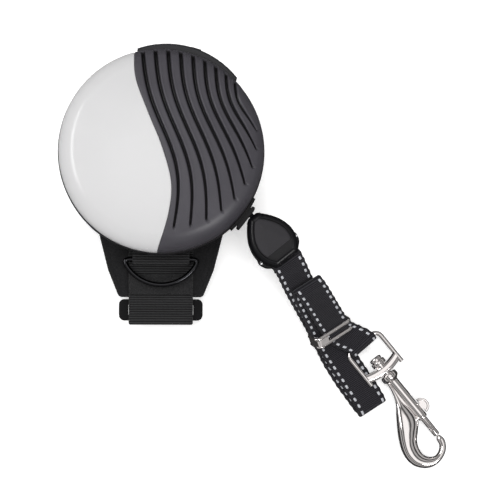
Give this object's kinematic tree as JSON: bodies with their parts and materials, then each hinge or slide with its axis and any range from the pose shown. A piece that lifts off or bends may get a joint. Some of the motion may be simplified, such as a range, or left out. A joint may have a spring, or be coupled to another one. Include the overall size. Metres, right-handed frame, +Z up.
{
  "type": "wrist-worn retractable pet lead",
  "caption": "Round spring-wound retractable pet lead on a padded wrist strap, with a thumb brake, a cord pod, a folded short strap, a slide buckle and a swivel bolt snap.",
  "frame": {"origin": "on the flat underside of the wrist strap, directly under the axis of the round case", "axes": "+Z up along the case axis, out of the domed front; +Y away from the wrist strap's visible end; +X to the right of the white cover, towards the ribbed grip"},
  "size_m": [0.179, 0.1918, 0.051],
  "materials": {
    "case_dark": "fine moulded texture",
    "cover_white": "smooth gloss",
    "grip_dark": "soft-touch, fine ribs",
    "screw_steel": "plated steel",
    "guide_black": "smooth acetal",
    "cord_black": "braided nylon cord",
    "drum_plastic": "natural acetal",
    "spring_steel": "blued spring steel",
    "button_dark": "moulded, satin",
    "webbing_black": "woven nylon webbing, cross ribs",
    "pad_black": "felted pad",
    "patch_black": "looped pile",
    "ring_black": "smooth moulded",
    "black_nickel": "black nickel plating",
    "pod_black": "smooth gloss",
    "badge_black": "satin, blank",
    "ferrule_brass": "crimped",
    "strap_black": "woven nylon strap",
    "stitch_grey": "reflective grey thread",
    "chrome_metal": "bright nickel plating"
  },
  "bodies": {
    "case": {"rear_case": "case_dark", "front_case": "case_dark", "white_cover": "cover_white", "ribbed_grip": "grip_dark", "case_screws": "screw_steel", "outlet_guide": "guide_black", "outlet_bezel": "guide_black", "cord_run": "cord_black", "clock_spring": "spring_steel", "axle": "drum_plastic", "axle_screw": "screw_steel", "brake_springs": "spring_steel", "wrist_strap": "webbing_black", "wrist_pad": "pad_black", "band_plate": "screw_steel", "band_screws": "screw_steel", "closure_patch": "patch_black", "strap_ring": "ring_black", "ring_keeper": "webbing_black", "d_ring_tab": "webbing_black"},
    "drum": {"drum": "drum_plastic", "ratchet_flange": "drum_plastic", "drum_screws": "screw_steel", "cord_coil": "cord_black"},
    "brake": {"brake_button": "button_dark", "brake_pawl": "button_dark"},
    "lock": {"lock_slider": "button_dark"},
    "d_ring": {"d_ring": "black_nickel"},
    "lead": {"pod_front": "pod_black", "pod_badge": "badge_black", "pod_rear": "pod_black", "pod_pin": "screw_steel", "cord_ferrule": "ferrule_brass", "lead_strap": "strap_black", "reflective_stitching": "stitch_grey"},
    "buckle": {"slide_buckle": "chrome_metal"},
    "eye": {"snap_eye": "chrome_metal"},
    "snap": {"snap_hook": "chrome_metal", "swivel_rivet": "chrome_metal", "bolt_spring": "spring_steel"},
    "bolt": {"snap_bolt": "chrome_metal", "thumb_stud": "chrome_metal"}
  },
  "joints": [
    {"name": "lead_pull", "type": "slide", "parent": "case", "child": "lead", "axis": [0.6266, -0.7793, 0], "range_m": [0, 3], "stiffness_N_per_m": 1.67, "springref_m": -1.8},
    {"name": "drum_spin", "type": "hinge", "parent": "case", "child": "drum", "pos_m": [0, 0, 0.0315], "axis": [0, 0, -1], "range_deg": [0, 5715]},
    {"name": "brake_press", "type": "slide", "parent": "case", "child": "brake", "axis": [-0.2756, -0.9613, 0], "range_m": [0, 0.0026], "stiffness_N_per_m": 1500, "springref_m": -0.0006, "deforming": ["brake_springs"]},
    {"name": "lock_slide", "type": "slide", "parent": "brake", "child": "lock", "axis": [-0.9613, 0.2756, 0], "range_m": [0, 0.0034]},
    {"name": "d_ring_swing", "type": "hinge", "parent": "case", "child": "d_ring", "pos_m": [0, -0.0475, 0.0185], "axis": [-1, 0, 0], "range_deg": [0, 85]},
    {"name": "buckle_slide", "type": "slide", "parent": "lead", "child": "buckle", "axis": [-0.4326, 0.6843, 0.587], "range_m": [0, 0.009]},
    {"name": "eye_swing", "type": "hinge", "parent": "lead", "child": "eye", "pos_m": [0.09367, -0.08503, 0.005], "axis": [-0.7738, -0.6334, 0], "range_deg": [0, 85]},
    {"name": "snap_swivel", "type": "hinge", "parent": "eye", "child": "snap", "pos_m": [0.1038, -0.09741, 0.005], "axis": [0.6334, -0.7738, 0], "continuous": true},
    {"name": "bolt_slide", "type": "slide", "parent": "snap", "child": "bolt", "axis": [-0.6334, 0.7738, 0], "range_m": [0, 0.006], "stiffness_N_per_m": 300, "springref_m": -0.004, "deforming": ["bolt_spring"]}
  ],
  "couplings": [
    {"joint": "drum_spin", "follows": "lead_pull", "rad_per_m": 33.248}
  ]
}
